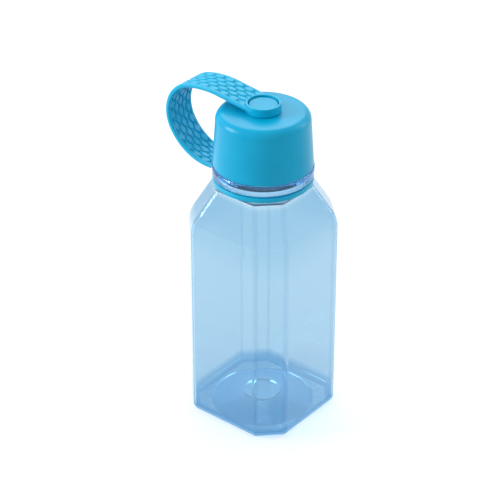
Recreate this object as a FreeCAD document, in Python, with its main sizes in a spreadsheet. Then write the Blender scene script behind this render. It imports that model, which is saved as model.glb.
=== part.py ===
import FreeCAD, Part
import math
import os
import Sketcher
from FreeCAD import Placement, Rotation, Vector

# A clear drinking bottle: square body with cut corners, faceted shoulder, round neck,
# screw cap and a flexible carrying strap that runs from a ring on the neck to a stud on
# the cap. The bottle stands on z = 0 with its axis on Z, and the strap points along -X.

SIZES = [
    # Bottle body
    ("body_width", 68.0, "across the flat sides of the body"),
    ("corner_cut", 12.2, "leg of the cut corners of the body"),
    ("shoulder_z", 119.7, "height where the side walls meet the shoulder slopes"),
    ("shoulder_round", 20.0, "radius between the walls and the shoulder slopes"),
    ("shoulder_rise", 21.3, "height of the shoulder slopes"),
    ("shoulder_land", 0.2, "top of the shoulder past the neck, at each flat side"),
    ("neck_corner_cut", 11.5, "leg of the cut corners at the top of the shoulder"),
    ("facet_round", 4.2, "radius along the edges between the facets"),
    ("land_round", 1.0, "edge radius where the shoulder meets the neck"),
    ("base_round", 4.5, "radius round the foot of the body"),
    ("wall", 1.4, "wall of the bottle"),
    ("punt_radius", 28.0, "radius of the hollow under the base"),
    ("punt_height", 4.0, "rise of the hollow under the base"),
    ("gate_radius", 9.0, "radius of the recess in the middle of the base"),
    ("gate_depth", 0.8, "depth of the recess in the middle of the base"),
    # Neck
    ("neck_radius", 20.2, "neck inside the cap, between the threads"),
    ("neck_height", 23.4, "neck above the flange"),
    ("seat_step", 3.5, "neck below the flange, where the strap ring turns, past the neck above"),
    ("seat_height", 4.5, "neck below the flange"),
    ("flange_height", 6.1, "height of the neck flange"),
    ("flange_edge", 0.4, "neck flange past the foot of the cap"),
    ("flange_round", 1.3, "edge radius of the neck flange"),
    # Thread shared by the neck and the cap
    ("thread_pitch", 4.0, "rise of the thread in one turn"),
    ("thread_turns", 1.5, "turns of thread on the neck"),
    ("thread_depth", 1.2, "height of the thread ridge"),
    ("thread_root", 1.9, "width of the ridge at its root"),
    ("thread_crest", 0.9, "width of the ridge at its crest"),
    ("thread_lift", 6.4, "first thread ridge of the neck above the flange"),
    ("thread_sink", 0.3, "how far a ridge runs into its wall"),
    ("thread_gap", 0.3, "radial clearance between the cap and the neck"),
    # Cap
    ("cap_gap", 0.3, "closed cap above the flange"),
    ("cap_taper", 1.95, "draft of the cap from its foot to its top"),
    ("cap_round", 4.6, "radius round the top of the cap"),
    ("cap_rim_round", 0.5, "edge radius at the foot of the cap"),
    ("cap_wall", 1.9, "side wall of the cap shell"),
    ("cap_roof", 2.0, "top of the cap shell"),
    ("liner_wall", 3.1, "side wall of the liner at the foot of the cap"),
    ("liner_fit", 0.1, "clearance between the liner and the shell"),
    ("liner_lift", 0.8, "foot of the liner above the foot of the shell"),
    ("liner_round", 0.8, "edge radius round the top of the liner"),
    ("liner_roof", 1.6, "top of the liner"),
    ("stud_room", 2.15, "room for the closed end of the stud above the liner"),
    ("seal_height", 1.5, "thickness of the seal"),
    ("seal_overlap", 0.5, "seal past each side of the lip"),
    ("seal_gap", 0.05, "seal above the lip"),
    # Strap stud
    ("stud_radius", 4.0, "stem of the stud"),
    ("stud_gap", 0.06, "running clearance round the stem"),
    ("stud_head_radius", 7.7, "button of the stud"),
    ("stud_head_height", 1.4, "thickness of the button"),
    ("stud_head_round", 0.5, "edge radius of the button"),
    ("stud_foot_radius", 5.4, "closed end of the stud under the cap"),
    ("stud_foot_height", 1.2, "thickness of the closed end of the stud"),
    ("stack_gap", 0.1, "play between the stud, the eyelet and the cap"),
    # Strap
    ("eyelet_radius", 9.4, "outer radius of the strap eyelet"),
    ("eyelet_height", 4.9, "height of the strap eyelet"),
    ("eyelet_floor", 2.4, "floor of the eyelet under the button"),
    ("eyelet_recess_gap", 0.4, "eyelet wall clear of the button"),
    ("eyelet_round", 0.5, "edge radius of the eyelet"),
    ("ring_gap", 0.3, "strap ring clear of the neck"),
    ("ring_wall", 2.9, "radial thickness of the strap ring"),
    ("ring_height", 2.9, "height of the strap ring"),
    ("ring_drop", 0.7, "strap ring below the flange"),
    ("ring_round", 0.9, "edge radius of the strap ring"),
    ("strap_edge", 0.1, "strap past the eyelet at each side"),
    ("strap_thickness", 2.4, "thickness of the strap"),
    ("strap_round", 0.8, "edge radius of the strap"),
    ("strap_lead", 15.0, "straight run of the strap at the eyelet"),
    ("strap_rise", 1.95, "climb of that straight run"),
    ("strap_reach", 58.5, "farthest middle of the strap from the axis"),
    ("strap_crown", 54.7, "radius of the upper bend"),
    ("strap_turn", 19.8, "radius of the outer bend"),
    ("strap_sweep", 28.6, "radius of the lower bend"),
    ("web_gap", 0.05, "strap clear of the ring and the eyelet at its ends"),
]

# Heights and radii that several pieces share, from the foot up and from the neck out
NECK_BASE = "(dims.shoulder_z + dims.shoulder_rise)"
FLANGE_FOOT = f"({NECK_BASE} + dims.seat_height)"
FLANGE_TOP = f"({FLANGE_FOOT} + dims.flange_height)"
LIP = f"({FLANGE_TOP} + dims.neck_height)"
THREAD_START = f"({FLANGE_TOP} + dims.thread_lift)"
CAP_FOOT = f"({FLANGE_TOP} + dims.cap_gap)"
SEAL_FOOT = f"({LIP} + dims.seal_gap)"
LINER_CEILING = f"({SEAL_FOOT} + dims.seal_height)"
LINER_TOP = f"({LINER_CEILING} + dims.liner_roof)"
LINER_FOOT = f"({CAP_FOOT} + dims.liner_lift)"
CAP_CEILING = f"({LINER_TOP} + dims.stud_room)"
CAP_TOP = f"({CAP_CEILING} + dims.cap_roof)"
SEAT_RADIUS = "(dims.neck_radius + dims.seat_step)"
LINER_BORE = "(dims.neck_radius + dims.thread_depth + dims.thread_gap)"
CAP_FOOT_RADIUS = f"({LINER_BORE} + dims.liner_wall + dims.liner_fit + dims.cap_wall)"
CAP_DRAFT = f"(dims.cap_taper / ({CAP_TOP} - {CAP_FOOT}))"
EYELET_FOOT = f"({CAP_TOP} + dims.stack_gap)"
HEAD_FOOT = f"({EYELET_FOOT} + dims.eyelet_floor + dims.stack_gap)"
RING_BORE = f"({SEAT_RADIUS} + dims.ring_gap)"
RING_RADIUS = f"({RING_BORE} + dims.ring_wall)"
RING_TOP = f"({FLANGE_FOOT} - dims.ring_drop)"
RING_FOOT = f"({RING_TOP} - dims.ring_height)"
STRAP_TOP = f"({EYELET_FOOT} + dims.eyelet_height - dims.strap_thickness / 2 - dims.eyelet_round)"
STRAP_FOOT = f"({RING_FOOT} + dims.strap_thickness / 2)"
STRAP_HALF = "(dims.eyelet_radius + dims.strap_edge)"


def cap_bore(height):
    """Inner radius of the cap shell at a height, as an expression."""
    return f"({CAP_FOOT_RADIUS} - dims.cap_wall - {CAP_DRAFT} * ({height} - {CAP_FOOT}))"


doc = FreeCAD.newDocument("bottle")
dims = doc.addObject("Spreadsheet::Sheet", "dims")
for row, (alias, number, meaning) in enumerate(SIZES, 1):
    dims.set(f"A{row}", meaning)
    dims.set(f"B{row}", str(number))
    dims.setAlias(f"B{row}", alias)
doc.recompute()


def value(expression):
    """Present value of an expression in the sheet's sizes."""
    found = dims.evalExpression(expression)
    return float(getattr(found, "Value", found))


def new_body(name):
    body = doc.addObject("PartDesign::Body", name)
    body.Label = name
    return body


def new_sketch(body, name, role, height=None, turn=0):
    """Sketch on one of the body's own origin planes, raised by height or turned about Z."""
    sketch = body.newObject("Sketcher::SketchObject", name)
    plane = next(item for item in body.Origin.OriginFeatures if item.Role == role)
    sketch.AttachmentSupport = [(plane, "")]
    sketch.MapMode = "FlatFace"
    if turn:
        sketch.AttachmentOffset = Placement(Vector(), Rotation(Vector(0, 1, 0), turn))
    if height:
        sketch.setExpression("AttachmentOffset.Base.z", height)
    return sketch


def bind(sketch, constraint, expression):
    """Add a constraint and tie its value to an expression."""
    index = sketch.addConstraint(constraint)
    sketch.setExpression(f"Constraints[{index}]", expression)


def pin(sketch, item, spot, across, up):
    """Hold a point of the sketch at expressions for its two coordinates."""
    for kind, axis, expression in (("DistanceX", -2, across), ("DistanceY", -1, up)):
        number = value(expression)
        if abs(number) < 1e-9:
            sketch.addConstraint(Sketcher.Constraint("PointOnObject", item, spot, axis))
        else:
            bind(sketch, Sketcher.Constraint(kind, -1, 1, item, spot, number), expression)


def outline(sketch, corners):
    """Closed outline. Each corner is (across, up) or (across, up, radius), as expressions."""
    count = len(corners)
    spots = [Vector(value(corner[0]), value(corner[1]), 0) for corner in corners]
    rounds = [value(corner[2]) if len(corner) > 2 else 0 for corner in corners]
    starts, ends, arcs = [], [], []
    for index, spot in enumerate(spots):
        back = (spots[index - 1] - spot).normalize()
        ahead = (spots[(index + 1) % count] - spot).normalize()
        half = back.getAngle(ahead) / 2
        reach = rounds[index] / math.tan(half)
        ends.append(spot + back * reach)
        starts.append(spot + ahead * reach)
        middle = (back + ahead).normalize() * (rounds[index] / math.sin(half))
        arcs.append((spot + middle, back.cross(ahead).z))
    for index in range(count):
        sketch.addGeometry(Part.LineSegment(starts[index], ends[(index + 1) % count]))
    for index, corner in enumerate(corners):
        before = (index - 1) % count
        if rounds[index]:
            centre, side = arcs[index]
            first, last = (ends[index], starts[index]) if side < 0 else (starts[index], ends[index])
            angles = [math.atan2(end.y - centre.y, end.x - centre.x) for end in (first, last)]
            circle = Part.Circle(centre, Vector(0, 0, 1), rounds[index])
            arc = sketch.addGeometry(Part.ArcOfCircle(circle, *angles))
            tip = sketch.addGeometry(Part.Point(spots[index]), True)
            pair = (1, 2) if side < 0 else (2, 1)
            sketch.addConstraint(Sketcher.Constraint("Tangent", before, 2, arc, pair[0]))
            sketch.addConstraint(Sketcher.Constraint("Tangent", arc, pair[1], index, 1))
            sketch.addConstraint(Sketcher.Constraint("PointOnObject", tip, 1, before))
            sketch.addConstraint(Sketcher.Constraint("PointOnObject", tip, 1, index))
            pin(sketch, tip, 1, corner[0], corner[1])
            bind(sketch, Sketcher.Constraint("Radius", arc, rounds[index]), corner[2])
        else:
            sketch.addConstraint(Sketcher.Constraint("Coincident", before, 2, index, 1))
            pin(sketch, index, 1, corner[0], corner[1])


def spin(body, name, corners, kind="Revolution"):
    """Turn an outline of radius and height about Z."""
    sketch = new_sketch(body, f"{name}_outline", "XZ_Plane")
    outline(sketch, corners)
    feature = body.newObject(f"PartDesign::{kind}", name)
    feature.Profile = sketch
    feature.ReferenceAxis = (sketch, ["V_Axis"])
    feature.Angle = 360
    doc.recompute()
    return feature


def cut_through(body, name, sketch, copies):
    """Cut a sketch right through the body, and repeat the cut about Z."""
    pocket = body.newObject("PartDesign::Pocket", name)
    pocket.Profile = sketch
    pocket.Type = "ThroughAll"
    pocket.SideType = "Symmetric"
    doc.recompute()
    pattern = body.newObject("PartDesign::PolarPattern", f"{name}_all")
    pattern.Originals = [pocket]
    upright = next(item for item in body.Origin.OriginFeatures if item.Role == "Z_Axis")
    pattern.Axis = (upright, [""])
    pattern.Angle = 360
    pattern.Occurrences = copies
    body.Tip = pattern
    doc.recompute()
    return pattern


def add_thread(body, name, root, crest, start):
    """Helical ridge from a root radius to a crest radius, whose first turn is at a height."""
    sketch = new_sketch(body, f"{name}_section", "XZ_Plane")
    outline(sketch, [
        (root, f"{start} - dims.thread_root / 2"),
        (crest, f"{start} - dims.thread_crest / 2"),
        (crest, f"{start} + dims.thread_crest / 2"),
        (root, f"{start} + dims.thread_root / 2"),
    ])
    helix = body.newObject("PartDesign::AdditiveHelix", name)
    helix.Profile = sketch
    helix.ReferenceAxis = (sketch, ["V_Axis"])
    helix.Mode = "pitch-turns-angle"
    helix.setExpression("Pitch", "dims.thread_pitch")
    helix.setExpression("Turns", "dims.thread_turns")
    helix.LeftHanded = False
    helix.Reversed = False
    doc.recompute()
    return helix


# Bottle. The faceted outside is a block cut along the profile of each flat side and each
# cut corner, so that walls, shoulder round and slope are single runs; the neck stands on it.
bottle = new_body("bottle")
BLOCK_HALF = "(dims.body_width / 2 + dims.wall)"
block_sketch = new_sketch(bottle, "block_outline", "XY_Plane")
outline(block_sketch, [
    (f"-{BLOCK_HALF}", f"-{BLOCK_HALF}"),
    (BLOCK_HALF, f"-{BLOCK_HALF}"),
    (BLOCK_HALF, BLOCK_HALF),
    (f"-{BLOCK_HALF}", BLOCK_HALF),
])
block = bottle.newObject("PartDesign::Pad", "block")
block.Profile = block_sketch
block.setExpression("Length", NECK_BASE)
doc.recompute()


def cut_facets(name, turn, wall_reach, top_reach):
    """Cut four facets to the profile of one side: wall, shoulder round and slope."""
    sketch = new_sketch(bottle, f"{name}_outline", "XZ_Plane", turn=turn)
    past_side = "dims.body_width"
    past_top = f"({NECK_BASE} + dims.wall)"
    slope = f"(({wall_reach} - {top_reach}) / dims.shoulder_rise)"
    outline(sketch, [
        (wall_reach, "-dims.wall"),
        (past_side, "-dims.wall"),
        (past_side, past_top),
        (f"({top_reach} - {slope} * dims.wall)", past_top),
        (wall_reach, "dims.shoulder_z", "dims.shoulder_round"),
    ])
    return cut_through(bottle, name, sketch, 4)


SHOULDER_TOP = f"({SEAT_RADIUS} + dims.shoulder_land)"
cut_facets("sides", 0, "(dims.body_width / 2)", SHOULDER_TOP)
facets = cut_facets(
    "corners", 45,
    "((dims.body_width - dims.corner_cut) / sqrt(2))",
    f"((2 * {SHOULDER_TOP} - dims.neck_corner_cut) / sqrt(2))")


def edges_where(feature, test):
    """Names of the feature's edges that pass a test."""
    return [f"Edge{number}" for number, edge in enumerate(feature.Shape.Edges, 1) if test(edge)]


def round_edges(body, name, base, edges, radius):
    feature = body.newObject("PartDesign::Fillet", name)
    feature.Base = (base, edges)
    feature.setExpression("Radius", radius)
    doc.recompute()
    return feature


facet_edges = edges_where(facets, lambda edge: edge.BoundBox.ZLength > 1e-3)
softened = round_edges(bottle, "facet_rounds", facets, facet_edges, "dims.facet_round")
foot_edges = edges_where(softened, lambda edge: edge.BoundBox.ZMax < 1e-3)
round_edges(bottle, "foot_round", softened, foot_edges, "dims.base_round")
spin(bottle, "neck", [
    ("0", f"{NECK_BASE} - dims.wall"),
    (SEAT_RADIUS, f"{NECK_BASE} - dims.wall"),
    (SEAT_RADIUS, f"{FLANGE_FOOT} + dims.flange_height / 2"),
    ("dims.neck_radius", f"{FLANGE_FOOT} + dims.flange_height / 2"),
    ("dims.neck_radius", LIP),
    ("0", LIP),
])
neck = bottle.Tip
lip = next(
    f"Face{number}" for number, face in enumerate(neck.Shape.Faces, 1)
    if face.BoundBox.ZMin > value(LIP) - 1e-3)
hollow = bottle.newObject("PartDesign::Thickness", "hollow")
hollow.Base = (neck, [lip])
hollow.setExpression("Value", "dims.wall")
hollow.Reversed = True
hollow.Mode = "Skin"
hollow.Join = "Intersection"
doc.recompute()
land_edges = edges_where(hollow, lambda edge: (
    abs(edge.BoundBox.ZMax - value(NECK_BASE)) < 1e-3 and edge.BoundBox.ZLength < 1e-3
    and math.hypot(edge.BoundBox.Center.x, edge.BoundBox.Center.y) > value(SEAT_RADIUS)))
round_edges(bottle, "land_round", hollow, land_edges, "dims.land_round")

# Base: a shallow hollow with a round recess in its middle, of the same wall all over
GATE_TOP = "(dims.punt_height + dims.gate_depth)"
spin(bottle, "dome", [
    ("0", "dims.wall / 2"),
    ("dims.punt_radius + dims.wall", "dims.wall / 2"),
    ("dims.gate_radius + dims.wall", "dims.punt_height + dims.wall"),
    ("dims.gate_radius + dims.wall", f"{GATE_TOP} + dims.wall"),
    ("0", f"{GATE_TOP} + dims.wall"),
])
spin(bottle, "punt", [
    ("0", "-dims.wall"),
    ("dims.punt_radius", "-dims.wall"),
    ("dims.punt_radius", "0"),
    ("dims.gate_radius", "dims.punt_height"),
    ("dims.gate_radius", GATE_TOP),
    ("0", GATE_TOP),
], kind="Groove")

# Flange above the strap ring, and the thread that the cap screws on
FLANGE_STEP = f"({FLANGE_FOOT} + dims.flange_height / 2 - dims.wall / 2)"
FLANGE_RADIUS = f"({CAP_FOOT_RADIUS} + dims.flange_edge)"
spin(bottle, "flange", [
    ("dims.neck_radius - dims.wall / 2", FLANGE_STEP),
    (f"{SEAT_RADIUS} - dims.wall / 2", FLANGE_STEP),
    (f"{SEAT_RADIUS} - dims.wall / 2", FLANGE_FOOT),
    (FLANGE_RADIUS, FLANGE_FOOT, "dims.flange_round"),
    (FLANGE_RADIUS, FLANGE_TOP, "dims.flange_round"),
    ("dims.neck_radius - dims.wall / 2", FLANGE_TOP),
])
add_thread(
    bottle, "neck_thread",
    "(dims.neck_radius - dims.thread_sink)",
    "(dims.neck_radius + dims.thread_depth)",
    THREAD_START)

# Cap shell: drafted side, rounded top, and a hole in the roof for the stud
cap_shell = new_body("cap_shell")
spin(cap_shell, "shell", [
    ("dims.stud_radius + dims.stud_gap", CAP_CEILING),
    ("dims.stud_radius + dims.stud_gap", CAP_TOP),
    (f"{CAP_FOOT_RADIUS} - dims.cap_taper", CAP_TOP, "dims.cap_round"),
    (CAP_FOOT_RADIUS, CAP_FOOT, "dims.cap_rim_round"),
    (cap_bore(CAP_FOOT), CAP_FOOT),
    (cap_bore(CAP_CEILING), CAP_CEILING, "dims.cap_round - dims.cap_wall"),
])

# Cap liner: a threaded cup inside the shell. Its ridge runs half a pitch below the ridge
# of the neck, so that the two mesh.
cap_liner = new_body("cap_liner")
spin(cap_liner, "cup", [
    ("0", LINER_CEILING),
    (LINER_BORE, LINER_CEILING),
    (LINER_BORE, LINER_FOOT),
    (f"{cap_bore(LINER_FOOT)} - dims.liner_fit", LINER_FOOT),
    (f"{cap_bore(LINER_TOP)} - dims.liner_fit", LINER_TOP, "dims.liner_round"),
    ("0", LINER_TOP),
])
add_thread(
    cap_liner, "cap_thread",
    f"({LINER_BORE} + dims.thread_sink)",
    "(dims.neck_radius + dims.thread_gap)",
    f"({THREAD_START} - dims.thread_pitch / 2)")

# Seal between the lip of the bottle and the ceiling of the liner
seal_ring = new_body("seal_ring")
spin(seal_ring, "seal", [
    ("dims.neck_radius - dims.wall - dims.seal_overlap", SEAL_FOOT),
    (f"{LINER_BORE} - dims.liner_fit", SEAL_FOOT),
    (f"{LINER_BORE} - dims.liner_fit", LINER_CEILING),
    ("dims.neck_radius - dims.wall - dims.seal_overlap", LINER_CEILING),
])

# Stud: a button on a stem that passes the eyelet and the cap roof, closed under the roof
strap_stud = new_body("strap_stud")
STUD_FOOT = f"({CAP_CEILING} - dims.stack_gap)"
spin(strap_stud, "stud", [
    ("0", f"{HEAD_FOOT} + dims.stud_head_height"),
    ("0", f"{STUD_FOOT} - dims.stud_foot_height"),
    ("dims.stud_foot_radius", f"{STUD_FOOT} - dims.stud_foot_height"),
    ("dims.stud_foot_radius", STUD_FOOT),
    ("dims.stud_radius", STUD_FOOT),
    ("dims.stud_radius", HEAD_FOOT),
    ("dims.stud_head_radius", HEAD_FOOT),
    ("dims.stud_head_radius", f"{HEAD_FOOT} + dims.stud_head_height", "dims.stud_head_round"),
])

# Strap, one moulding in three pieces: the ring on the neck, the band and the eyelet
neck_ring = new_body("neck_ring")
spin(neck_ring, "ring", [
    (RING_BORE, RING_FOOT),
    (RING_RADIUS, RING_FOOT, "dims.ring_round"),
    (RING_RADIUS, RING_TOP, "dims.ring_round"),
    (RING_BORE, RING_TOP),
])

eyelet = new_body("eyelet")
EYELET_TOP = f"({EYELET_FOOT} + dims.eyelet_height)"
EYELET_BORE = "(dims.stud_radius + dims.stud_gap)"
RECESS = "(dims.stud_head_radius + dims.eyelet_recess_gap)"
spin(eyelet, "collar", [
    (EYELET_BORE, EYELET_FOOT),
    ("dims.eyelet_radius", EYELET_FOOT, "dims.eyelet_round"),
    ("dims.eyelet_radius", EYELET_TOP, "dims.eyelet_round"),
    (RECESS, EYELET_TOP, "dims.eyelet_round"),
    (RECESS, f"{EYELET_FOOT} + dims.eyelet_floor"),
    (EYELET_BORE, f"{EYELET_FOOT} + dims.eyelet_floor"),
])

strap = new_body("strap")


def strap_path():
    """Middle line of the band: from the neck ring out, up and back to the eyelet."""
    sketch = new_sketch(strap, "strap_path", "XZ_Plane")
    start = Vector(-value(RECESS), value(STRAP_TOP), 0)
    lead = Vector(-value("dims.strap_lead"), value("dims.strap_rise"), 0)
    spot = start + lead
    heading = math.atan2(lead.y, lead.x)
    pieces = [Part.LineSegment(spot, start)]
    # Each bend turns the band further towards the neck; the sketch settles the exact turns
    for name, turn in (("strap_crown", 22.0), ("strap_turn", 113.0), ("strap_sweep", 52.0)):
        radius = value(f"dims.{name}")
        centre = spot + Vector(-math.sin(heading), math.cos(heading), 0) * radius
        first = heading - math.pi / 2
        last = first + math.radians(turn)
        circle = Part.Circle(centre, Vector(0, 0, 1), radius)
        pieces.append(Part.ArcOfCircle(circle, first, last))
        heading += math.radians(turn)
        spot = centre + Vector(math.cos(last), math.sin(last), 0) * radius
    end = Vector(-value(RING_BORE), value(STRAP_FOOT), 0)
    pieces.append(Part.LineSegment(Vector(spot.x, end.y, 0), end))
    for piece in pieces:
        sketch.addGeometry(piece)
    sketch.addConstraint(Sketcher.Constraint("Tangent", 0, 1, 1, 1))
    sketch.addConstraint(Sketcher.Constraint("Tangent", 1, 2, 2, 1))
    sketch.addConstraint(Sketcher.Constraint("Tangent", 2, 2, 3, 1))
    sketch.addConstraint(Sketcher.Constraint("Tangent", 3, 2, 4, 1))
    sketch.addConstraint(Sketcher.Constraint("Horizontal", 4))
    pin(sketch, 0, 2, f"-{RECESS}", STRAP_TOP)
    pin(sketch, 0, 1, f"-{RECESS} - dims.strap_lead", f"{STRAP_TOP} + dims.strap_rise")
    pin(sketch, 4, 2, f"-{RING_BORE}", STRAP_FOOT)
    for item, name in ((1, "strap_crown"), (2, "strap_turn"), (3, "strap_sweep")):
        bind(sketch, Sketcher.Constraint("Radius", item, value(f"dims.{name}")), f"dims.{name}")
    reach = "-(dims.strap_reach - dims.strap_turn)"
    bind(sketch, Sketcher.Constraint("DistanceX", -1, 1, 2, 3, value(reach)), reach)
    return sketch


path = strap_path()
section = new_sketch(strap, "strap_section", "YZ_Plane", height=f"-{RING_BORE}")
outline(section, [
    (f"-{STRAP_HALF}", f"{STRAP_FOOT} - dims.strap_thickness / 2", "dims.strap_round"),
    (STRAP_HALF, f"{STRAP_FOOT} - dims.strap_thickness / 2", "dims.strap_round"),
    (STRAP_HALF, f"{STRAP_FOOT} + dims.strap_thickness / 2", "dims.strap_round"),
    (f"-{STRAP_HALF}", f"{STRAP_FOOT} + dims.strap_thickness / 2", "dims.strap_round"),
])
doc.recompute()
band = strap.newObject("PartDesign::AdditivePipe", "band")
band.Profile = section
band.Spine = (path, [])
doc.recompute()


def trim_round(name, height, radius, length):
    """Cut a round end on the band, about Z at one height."""
    sketch = new_sketch(strap, f"{name}_outline", "XY_Plane", height=height)
    sketch.addGeometry(Part.Circle(Vector(), Vector(0, 0, 1), value(radius)))
    sketch.addConstraint(Sketcher.Constraint("Coincident", 0, 3, -1, 1))
    bind(sketch, Sketcher.Constraint("Radius", 0, value(radius)), radius)
    pocket = strap.newObject("PartDesign::Pocket", name)
    pocket.Profile = sketch
    pocket.SideType = "Symmetric"
    pocket.setExpression("Length", length)
    doc.recompute()


trim_round("ring_end", STRAP_FOOT, f"{RING_RADIUS} + dims.web_gap", "2 * dims.ring_height")
trim_round("eyelet_end", STRAP_TOP, "dims.eyelet_radius + dims.web_gap", "2 * dims.eyelet_height")

doc.recompute()
for item in doc.Objects:
    if "Invalid" in item.State or "Error" in item.State:
        raise RuntimeError(f"{item.Label} failed: {item.State}")
PIECES = [bottle, cap_shell, cap_liner, seal_ring, strap_stud, neck_ring, strap, eyelet]
for piece in PIECES:
    if piece.Shape.isNull() or not piece.Shape.isValid() or len(piece.Shape.Solids) != 1:
        raise RuntimeError(f"{piece.Label} is not one sound solid")
os.makedirs("parts", exist_ok=True)
for piece in PIECES:
    piece.Shape.exportStep(f"parts/{piece.Label}.step")
    print(f"{piece.Label}: {piece.Shape.Volume / 1000:.2f} cm3")
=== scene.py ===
import math

import bpy
import numpy as np
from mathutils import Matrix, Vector


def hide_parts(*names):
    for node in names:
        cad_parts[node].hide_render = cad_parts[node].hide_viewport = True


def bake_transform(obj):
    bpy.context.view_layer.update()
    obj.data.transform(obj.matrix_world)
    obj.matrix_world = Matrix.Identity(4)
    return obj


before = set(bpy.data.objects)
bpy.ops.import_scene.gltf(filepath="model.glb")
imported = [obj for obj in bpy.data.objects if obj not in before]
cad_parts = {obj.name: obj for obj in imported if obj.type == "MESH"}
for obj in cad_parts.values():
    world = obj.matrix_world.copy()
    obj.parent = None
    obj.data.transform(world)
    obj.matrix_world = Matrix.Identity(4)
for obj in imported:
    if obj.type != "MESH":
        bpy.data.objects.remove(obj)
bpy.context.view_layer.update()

# Bottle: one blow-moulded body with flat sides, cut corners, a faceted shoulder, a round neck
# with a flange, and a hollow base. It stands on its foot, and its walls let the light through.
MM = 0.001


def paint(code):
    """Linear colour of an sRGB hex value."""
    parts = [int(code[at:at + 2], 16) / 255 for at in (0, 2, 4)]
    return (*[p / 12.92 if p <= 0.04045 else ((p + 0.055) / 1.055) ** 2.4 for p in parts], 1)


def add(tree, kind, inputs=(), **settings):
    """Add a node with its settings; an input is a value or the socket that feeds it."""
    made = tree.nodes.new(kind)
    for name, setting in settings.items():
        setattr(made, name, setting)
    for name, source in dict(inputs).items():
        if isinstance(source, bpy.types.NodeSocket):
            tree.links.new(source, made.inputs[name])
        else:
            made.inputs[name].default_value = source
    return made


def finish_of(name):
    """New empty material, its node tree and the point of the surface in metres."""
    made = bpy.data.materials.new(name)
    made.use_nodes = True
    made.node_tree.nodes.clear()
    place = add(made.node_tree, "ShaderNodeTexCoord").outputs["Object"]
    return made, made.node_tree, place


def dress(node, finish):
    """Give a carried-over CAD node its finish."""
    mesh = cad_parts[node].data
    mesh.materials.clear()
    mesh.materials.append(finish)


# Copolyester, blown: clear and polished, so the tint builds up where the eye looks along a
# wall. The walls wave a little, as blown walls do, over about 22 mm.
clear_copolyester, tree, place = finish_of("clear_copolyester_blown")
WALL_WAVE = 22 * MM
waves = add(tree, "ShaderNodeTexNoise", {"Vector": place, "Scale": 1 / WALL_WAVE, "Detail": 1.0})
ripple = add(tree, "ShaderNodeBump", {
    "Height": waves.outputs["Fac"], "Strength": 0.25, "Distance": 0.6 * MM})
polish = add(tree, "ShaderNodeMapRange", {
    "Value": waves.outputs["Fac"], "To Min": 0.01, "To Max": 0.035})
# A blown wall is thicker at the foot and on the shoulder, and its colour is deeper there. The
# deepest colour at the foot is also painted shade, for the shadowed table seen through the base,
# and from the foot of the neck up the colour is white, as painted light against the shade inside
# the neck and flange.
wall_point = add(tree, "ShaderNodeSeparateXYZ", {"Vector": place}).outputs
TINT_TOP = 150 * MM
tint_share = add(tree, "ShaderNodeMath", {0: wall_point["Z"], 1: TINT_TOP}, operation="DIVIDE")
thickness_tint_and_painted_light = add(tree, "ShaderNodeValToRGB", {"Fac": tint_share.outputs[0]})
stops = thickness_tint_and_painted_light.color_ramp.elements
# The foot stop is thick wall and painted shade; the white stops from 140.5 mm up are painted light
stops[0].position, stops[0].color = 3 * MM / TINT_TOP, paint("92C4E2")
stops[1].position, stops[1].color = 1.0, paint("FFFFFF")
for stop, code in (
        (8, "DDEBF3"), (100, "DDEBF3"), (128, "C5DEEB"), (137.5, "C5DEEB"), (140.5, "FFFFFF")):
    stops.new(stop * MM / TINT_TOP).color = paint(code)
# The flats meet in rounded edges, and along them thin lines of deeper colour are painted shade,
# in place of the dark lines that light bent by the edges would make. Each edge stands upright on
# the body and leans in over the shoulder, as far as the foot of the neck. Edges and flats are
# measured from the axis, and the lines stay in the walls, clear of base and neck.
SHOULDER_FOOT, NECK_FOOT = 119.7 * MM, 141 * MM
EDGE_LOW, EDGE_HIGH = 21.8 * MM, 12.4 * MM
FLAT_LOW, FLAT_HIGH = 34 * MM, 23.9 * MM
LINE_HALF = 0.7 * MM
WALL_INSIDE, WALL_PAST = 2.2 * MM, 3.2 * MM
edge_at = add(tree, "ShaderNodeMapRange", {
    "Value": wall_point["Z"], "From Min": SHOULDER_FOOT, "From Max": NECK_FOOT,
    "To Min": EDGE_LOW, "To Max": EDGE_HIGH})
flat_at = add(tree, "ShaderNodeMapRange", {
    "Value": wall_point["Z"], "From Min": SHOULDER_FOOT, "From Max": NECK_FOOT,
    "To Min": FLAT_LOW, "To Max": FLAT_HIGH})
off_x = add(tree, "ShaderNodeMath", {0: wall_point["X"]}, operation="ABSOLUTE").outputs[0]
off_y = add(tree, "ShaderNodeMath", {0: wall_point["Y"]}, operation="ABSOLUTE").outputs[0]
near = add(tree, "ShaderNodeMath", {0: off_x, 1: off_y}, operation="MINIMUM")
far = add(tree, "ShaderNodeMath", {0: off_x, 1: off_y}, operation="MAXIMUM")
beside = add(tree, "ShaderNodeMath", {
    0: near.outputs[0], 1: edge_at.outputs["Result"]}, operation="SUBTRACT")
gap = add(tree, "ShaderNodeMath", {0: beside.outputs[0]}, operation="ABSOLUTE")
line = add(tree, "ShaderNodeMapRange", {
    "Value": gap.outputs[0], "From Max": LINE_HALF, "To Min": 1.0, "To Max": 0.0})
inset = add(tree, "ShaderNodeMath", {
    0: flat_at.outputs["Result"], 1: far.outputs[0]}, operation="SUBTRACT")
side_wall = add(tree, "ShaderNodeMapRange", {
    "Value": inset.outputs[0], "From Min": WALL_INSIDE, "From Max": WALL_PAST,
    "To Min": 1.0, "To Max": 0.0})
under_neck = add(tree, "ShaderNodeMath", {
    0: wall_point["Z"], 1: NECK_FOOT}, operation="LESS_THAN")
on_wall = add(tree, "ShaderNodeMath", {
    0: side_wall.outputs["Result"], 1: under_neck.outputs[0]}, operation="MULTIPLY")
painted_edge_share = add(tree, "ShaderNodeMath", {
    0: line.outputs["Result"], 1: on_wall.outputs[0]}, operation="MULTIPLY")
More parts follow.
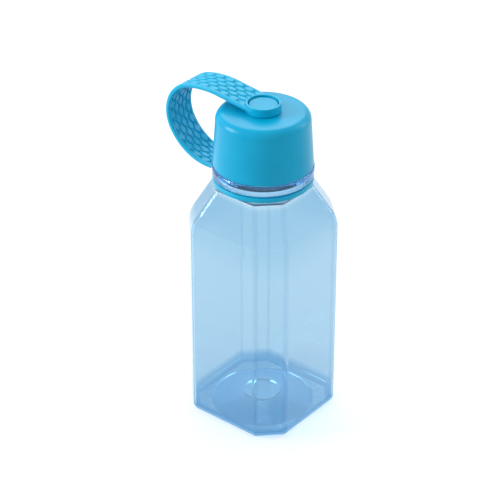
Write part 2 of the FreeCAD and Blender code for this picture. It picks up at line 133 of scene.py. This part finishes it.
# Painted shade: the tint is multiplied by a deeper colour along the edges
tint_with_painted_edge_shade = add(tree, "ShaderNodeMix", {
    0: painted_edge_share.outputs[0], 6: thickness_tint_and_painted_light.outputs["Color"], 7: paint("DAEAF5")}, data_type="RGBA",
    blend_type="MULTIPLY")
# The strap's ring rubs its seat and the edge below it matt
SEAT_MIDDLE, SEAT_REACH, RUBBED = 142.75 * MM, 2.9 * MM, 0.45
seat = add(tree, "ShaderNodeMath", {
    0: wall_point["Z"], 1: SEAT_MIDDLE, 2: SEAT_REACH}, operation="COMPARE")
wear = add(tree, "ShaderNodeMath", {
    0: seat.outputs[0], 1: RUBBED, 2: polish.outputs["Result"]}, operation="MULTIPLY_ADD")
wall = add(tree, "ShaderNodeBsdfPrincipled", {
    "Base Color": tint_with_painted_edge_shade.outputs[2], "Roughness": wear.outputs[0], "IOR": 1.45,
    "Transmission Weight": 1.0, "Normal": ripple.outputs["Normal"]})
# Light on its way to a lamp, and light that has already crossed both walls, goes straight on,
# so that the inside is lit and no thick edge goes black.
BOTH_WALLS = 3.5
path = add(tree, "ShaderNodeLightPath").outputs
late = add(tree, "ShaderNodeMath", {
    0: path["Ray Depth"], 1: BOTH_WALLS}, operation="GREATER_THAN")
straight = add(tree, "ShaderNodeMath", {
    0: late.outputs[0], 1: path["Is Shadow Ray"]}, operation="MAXIMUM")
clear = add(tree, "ShaderNodeBsdfTransparent", {"Color": paint("F4F7F9")})
walls = add(tree, "ShaderNodeMixShader", {
    0: straight.outputs[0], 1: wall.outputs["BSDF"], 2: clear.outputs["BSDF"]})
tint = add(tree, "ShaderNodeVolumeAbsorption", {"Color": paint("41C9F0"), "Density": 131.0})
add(tree, "ShaderNodeOutputMaterial", {
    "Surface": walls.outputs["Shader"], "Volume": tint.outputs["Volume"]})
dress("bottle", clear_copolyester)

# Seal and liner: a silicone ring and a threaded cup, both inside the cap, where only their
# lower edges can be seen through the neck.
# Silicone, moulded: matt and pale, with a fine grit from the mould
silicone, tree, place = finish_of("silicone_moulded")
SILICONE_GRIT = 0.3 * MM
grit = add(tree, "ShaderNodeTexNoise", {"Vector": place, "Scale": 1 / SILICONE_GRIT})
shade = add(tree, "ShaderNodeMix", {
    0: grit.outputs["Fac"], 6: paint("DDE4E6"), 7: paint("EDF1F2")}, data_type="RGBA")
soft = add(tree, "ShaderNodeBsdfPrincipled", {
    "Base Color": shade.outputs[2], "Roughness": 0.6, "IOR": 1.41})
add(tree, "ShaderNodeOutputMaterial", {"Surface": soft.outputs["BSDF"]})
dress("seal_ring", silicone)

# Natural polypropylene, moulded: milky, with the faint flow marks of the mould
natural_polypropylene, tree, place = finish_of("polypropylene_natural_moulded")
FLOW_MARK = 6 * MM
flow = add(tree, "ShaderNodeTexNoise", {"Vector": place, "Scale": 1 / FLOW_MARK})
milk = add(tree, "ShaderNodeMix", {
    0: flow.outputs["Fac"], 6: paint("EAF2F6"), 7: paint("F4F8FA")}, data_type="RGBA")
cup = add(tree, "ShaderNodeBsdfPrincipled", {
    "Base Color": milk.outputs[2], "Roughness": 0.4, "IOR": 1.49})
add(tree, "ShaderNodeOutputMaterial", {"Surface": cup.outputs["BSDF"]})
dress("cap_liner", natural_polypropylene)

# Cap and stud: a drafted cap that a hand unscrews, and a button whose stem holds the strap's
# eyelet on its roof. Both are moulded in turquoise polypropylene.
turquoise_polypropylene, tree, place = finish_of("polypropylene_turquoise_moulded")
# A satin mould gives a fine grain, 0.35 mm here so that it shows, and slow changes of shade
# where the melt flowed, over about 15 mm.
SATIN_GRAIN = 0.35 * MM
MELT_FLOW = 15 * MM
grain = add(tree, "ShaderNodeTexNoise", {"Vector": place, "Scale": 1 / SATIN_GRAIN, "Detail": 1.0})
melt = add(tree, "ShaderNodeTexNoise", {"Vector": place, "Scale": 1 / MELT_FLOW, "Detail": 1.0})
dye = add(tree, "ShaderNodeMix", {
    0: melt.outputs["Fac"], 6: paint("0095BF"), 7: paint("00A1CA")}, data_type="RGBA")
satin = add(tree, "ShaderNodeMapRange", {
    "Value": grain.outputs["Fac"], "To Min": 0.24, "To Max": 0.34})
tooth = add(tree, "ShaderNodeBump", {
    "Height": grain.outputs["Fac"], "Strength": 0.08, "Distance": 0.05 * MM})
shell = add(tree, "ShaderNodeBsdfPrincipled", {
    "Base Color": dye.outputs[2], "Roughness": satin.outputs["Result"], "IOR": 1.49,
    "Specular IOR Level": 0.2, "Normal": tooth.outputs["Normal"]})
add(tree, "ShaderNodeOutputMaterial", {"Surface": shell.outputs["BSDF"]})
dress("cap_shell", turquoise_polypropylene)
dress("strap_stud", turquoise_polypropylene)

# Strap: one moulding in soft elastomer, a ring that turns on the neck, a band that loops up
# and an eyelet pressed over the stud. Scales are raised on both faces of the band, inside
# plain rims, and they are part of its mesh.
turquoise_elastomer, tree, place = finish_of("elastomer_turquoise_moulded")
# A thermoplastic elastomer has a soft sheen and a skin with fine pores, 0.4 mm here to show
PORE = 0.4 * MM
pores = add(tree, "ShaderNodeTexNoise", {"Vector": place, "Scale": 1 / PORE, "Detail": 1.0})
skin = add(tree, "ShaderNodeMix", {
    0: pores.outputs["Fac"], 6: paint("009CC4"), 7: paint("00A8D0")}, data_type="RGBA")
sheen = add(tree, "ShaderNodeMapRange", {
    "Value": pores.outputs["Fac"], "To Min": 0.28, "To Max": 0.4})
dimple = add(tree, "ShaderNodeBump", {
    "Height": pores.outputs["Fac"], "Strength": 0.08, "Distance": 0.05 * MM})
elastomer = add(tree, "ShaderNodeBsdfPrincipled", {
    "Base Color": skin.outputs[2], "Roughness": sheen.outputs["Result"], "IOR": 1.49,
    "Specular IOR Level": 0.27, "Normal": dimple.outputs["Normal"]})
add(tree, "ShaderNodeOutputMaterial", {"Surface": elastomer.outputs["BSDF"]})
dress("neck_ring", turquoise_elastomer)
dress("eyelet", turquoise_elastomer)

# Middle line of the band in its own plane, in mm from the bottle's axis and from the floor:
# a straight lead at the eyelet, three bends, and a flat run into the neck ring.
LEAD_START, LEAD_END = Vector((-8.1, 185.6)), Vector((-23.1, 187.55))
CROWN, TURN, SWEEP = 54.7, 19.8, 28.6
TURN_CENTRE, FOOT = -38.7, 143.1
lead = (LEAD_END - LEAD_START).normalized()
crown_centre = LEAD_END + CROWN * Vector((-lead.y, lead.x))
crown_end = math.acos((TURN_CENTRE - crown_centre.x) / (CROWN - TURN))
turn_centre = crown_centre + (CROWN - TURN) * Vector((math.cos(crown_end), math.sin(crown_end)))
turn_end = math.pi - math.asin((FOOT + SWEEP - turn_centre.y) / (TURN - SWEEP))
sweep_centre = turn_centre + (TURN - SWEEP) * Vector((math.cos(turn_end), math.sin(turn_end)))
bends = [
    (crown_centre, CROWN, math.atan2(lead.y, lead.x) - math.pi / 2, crown_end),
    (turn_centre, TURN, crown_end, turn_end),
    (sweep_centre, SWEEP, turn_end, 1.5 * math.pi),
]
lead_length = (LEAD_END - LEAD_START).length
sweep_length = lead_length + sum(radius * (last - first) for _, radius, first, last in bends)


def along_band(run):
    """Point and outward normal of the middle line at a run from the lead's start, in mm."""
    if run <= lead_length:
        return LEAD_START + lead * run, Vector((lead.y, -lead.x))
    run -= lead_length
    for centre, radius, first, last in bends:
        if run <= radius * (last - first):
            out = Vector((math.cos(first + run / radius), math.sin(first + run / radius)))
            return centre + radius * out, out
        run -= radius * (last - first)
    return Vector((sweep_centre.x + run, FOOT)), Vector((0, -1))


HALF_WIDTH, HALF_THICK, EDGE = 9.5, 1.2, 0.8
RIM = 1.7
SCALE_LENGTH, SCALE_ROWS, SCALE_RISE = 6.6, 5, 0.7
# Scales are lens-shaped and lap a little past their own length and row, with sloping sides
LAP_LENGTH, LAP_WIDTH, SCALE_SLOPE, RIM_SLOPE = 0.54, 0.66, 0.45, 0.5
row_pitch = 2 * (HALF_WIDTH - RIM) / SCALE_ROWS


def smooth(low, high, number):
    """Ease from 0 at the low end to 1 at the high end."""
    share = np.clip((number - low) / (high - low), 0, 1)
    return share * share * (3 - 2 * share)


def relief(run, across):
    """Height of a face against its rims: staggered scales on a lowered field."""
    row = np.floor((across + HALF_WIDTH - RIM) / row_pitch)
    top = np.zeros(np.shape(run))
    for step in (-1, 0, 1):
        line = row + step
        middle = (line + 0.5) * row_pitch - HALF_WIDTH + RIM
        shift = 0.5 * (line % 2)
        spot = (np.round(run / SCALE_LENGTH - shift) + shift) * SCALE_LENGTH
        lens = 1 - ((run - spot) / (LAP_LENGTH * SCALE_LENGTH)) ** 2
        inside = lens - np.abs(across - middle) / (LAP_WIDTH * row_pitch)
        own = (line >= 0) & (line < SCALE_ROWS)
        top = np.maximum(top, own * smooth(0.0, SCALE_SLOPE, inside))
    field = smooth(0.0, RIM_SLOPE, HALF_WIDTH - RIM - np.abs(across))
    return -SCALE_RISE * field * (1 - top)


# Section of the band: both faces with their scales, joined by rounded edges
FACE_STRANDS, EDGE_STRANDS, ROWS = 81, 9, 380
face = np.linspace(-(HALF_WIDTH - EDGE), HALF_WIDTH - EDGE, FACE_STRANDS)
turns = np.radians(np.linspace(90, -90, EDGE_STRANDS)[1:-1])
flank = HALF_THICK - EDGE
edge_across = HALF_WIDTH - EDGE + EDGE * np.cos(turns)
edge_up = EDGE * np.sin(turns) + flank * np.sign(np.round(np.sin(turns), 6))
across = np.concatenate([face, edge_across, face[::-1], -edge_across[::-1]])
up = np.concatenate([
    np.full(face.size, HALF_THICK), edge_up, np.full(face.size, -HALF_THICK), edge_up[::-1]])
side = np.concatenate([
    np.ones(face.size), np.zeros(turns.size), -np.ones(face.size), np.zeros(turns.size)])

# Each strand of the section starts inside the eyelet's wall and ends inside the neck ring
EYELET_WALL, RING_WALL = 9.1, 26.6
CORNER_REACH = 0.55
eyelet_reach = np.sqrt(np.maximum(EYELET_WALL ** 2 - across ** 2, CORNER_REACH ** 2))
ring_reach = np.sqrt(RING_WALL ** 2 - across ** 2)
starts = (eyelet_reach + LEAD_START.x) / -lead.x
ends = sweep_length - sweep_centre.x - ring_reach
share = np.linspace(0, 1, ROWS)[:, None]
runs = starts + (ends - starts) * share
points = np.empty((ROWS, across.size, 3))
heights = up + side * relief(runs, np.broadcast_to(across, runs.shape))
for row in range(ROWS):
    for strand in range(across.size):
        spot, out = along_band(runs[row, strand])
        spot = spot + float(heights[row, strand]) * out
        points[row, strand] = spot.x, across[strand], spot.y
loop = across.size
faces = [
    (row * loop + strand, row * loop + (strand + 1) % loop,
     (row + 1) * loop + (strand + 1) % loop, (row + 1) * loop + strand)
    for row in range(ROWS - 1) for strand in range(loop)]
# Both ends are closed by strips from the upper face to the lower one
pole = loop - (turns.size + 1) // 2
for first, order in ((0, 1), ((ROWS - 1) * loop, -1)):
    for step in range(loop // 2):
        strip = (pole + step, pole + step + 1, pole - step - 1, pole - step)
        corners = dict.fromkeys(first + corner % loop for corner in strip)
        faces.append(tuple(corners)[::order])
mesh = bpy.data.meshes.new("strap_band")
mesh.from_pydata((points.reshape(-1, 3) * MM).tolist(), [], faces)
mesh.shade_smooth()
mesh.materials.append(turquoise_elastomer)
band = bpy.data.objects.new("strap_band", mesh)
bpy.context.scene.collection.objects.link(band)
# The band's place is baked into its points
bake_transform(band)
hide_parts("strap")

# Studio: a white table under soft boxes, one on the left, one above and behind, and a weaker
# one on the right. What the lens, gloss and clear walls see of it is white.
studio = bpy.context.scene
studio.view_settings.view_transform = "Standard"
table_finish, tree, place = finish_of("table_white_board")


def seen(tree):
    """1 for rays from the lens, from gloss and through clear walls, and 0 for the rest."""
    ray = add(tree, "ShaderNodeLightPath").outputs
    gloss = add(tree, "ShaderNodeMath", {
        0: ray["Is Camera Ray"], 1: ray["Is Glossy Ray"]}, operation="MAXIMUM")
    return add(tree, "ShaderNodeMath", {
        0: gloss.outputs[0], 1: ray["Is Transmission Ray"]}, operation="MAXIMUM").outputs[0]


BOARD_LIFT = 0.32
lift = add(tree, "ShaderNodeMath", {0: seen(tree), 1: BOARD_LIFT}, operation="MULTIPLY")
board = add(tree, "ShaderNodeBsdfDiffuse", {"Color": paint("C5C5C5")})
glow = add(tree, "ShaderNodeEmission", {"Color": paint("FFFFFF"), "Strength": lift.outputs[0]})
lit = add(tree, "ShaderNodeAddShader", {0: board.outputs[0], 1: glow.outputs[0]})
add(tree, "ShaderNodeOutputMaterial", {"Surface": lit.outputs[0]})
TABLE_HALF = 4.0
table_corners = [
    (-TABLE_HALF, -TABLE_HALF, 0), (TABLE_HALF, -TABLE_HALF, 0),
    (TABLE_HALF, TABLE_HALF, 0), (-TABLE_HALF, TABLE_HALF, 0)]
mesh = bpy.data.meshes.new("table")
mesh.from_pydata(table_corners, [], [(0, 1, 2, 3)])
mesh.materials.append(table_finish)
table = bpy.data.objects.new("table", mesh)
studio.collection.objects.link(table)

room = bpy.data.worlds.new("studio_room")
room.use_nodes = True
room.node_tree.nodes.clear()
tree = room.node_tree
AIR_LIGHT, AIR_SEEN = 0.86, 1.0
air_level = add(tree, "ShaderNodeMapRange", {
    "Value": seen(tree), "To Min": AIR_LIGHT, "To Max": AIR_SEEN})
air = add(tree, "ShaderNodeBackground", {
    "Color": paint("FFFFFF"), "Strength": air_level.outputs["Result"]})
add(tree, "ShaderNodeOutputWorld", {"Surface": air.outputs[0]})
studio.world = room

# The camera looks down at the middle of the bottle, from its front and right
MIDDLE = Vector((-0.0054, -0.0044, 0.0975))
LENS_SPOT = Vector((0.5648, -0.7065, 0.6504))


def aim(thing, spot, target):
    """Stand a lamp or the camera at a spot and turn it to its target."""
    thing.location = spot
    thing.rotation_euler = (target - spot).to_track_quat("-Z", "Y").to_euler()


# Each box by its turn from the camera and its rise, in degrees, then its distance, width and
# height in metres, and its power in watts.
CAMERA_BEARING = 39.08
for name, turn, rise, distance, box_width, box_height, power in (
        ("left_box", -85, 25, 1.0, 0.35, 0.45, 7.0),
        ("back_box", 180, 45, 1.1, 0.9, 0.6, 4.5),
        ("right_box", 110, 25, 1.2, 0.3, 0.9, 3.0)):
    lamp = bpy.data.lights.new(name, "AREA")
    lamp.shape = "RECTANGLE"
    lamp.size, lamp.size_y = box_width, box_height
    lamp.energy = power
    box = bpy.data.objects.new(name, lamp)
    studio.collection.objects.link(box)
    bearing, lean = math.radians(CAMERA_BEARING + turn), math.radians(rise)
    ahead = Vector((math.sin(bearing), -math.cos(bearing), 0)) * math.cos(lean)
    aim(box, MIDDLE + distance * (ahead + Vector((0, 0, math.sin(lean)))), MIDDLE)

lens = bpy.data.cameras.new("lens")
lens.sensor_fit = "HORIZONTAL"
lens.sensor_width, lens.lens = 36, 141.1
camera = bpy.data.objects.new("camera", lens)
studio.collection.objects.link(camera)
aim(camera, LENS_SPOT, MIDDLE)
studio.camera = camera
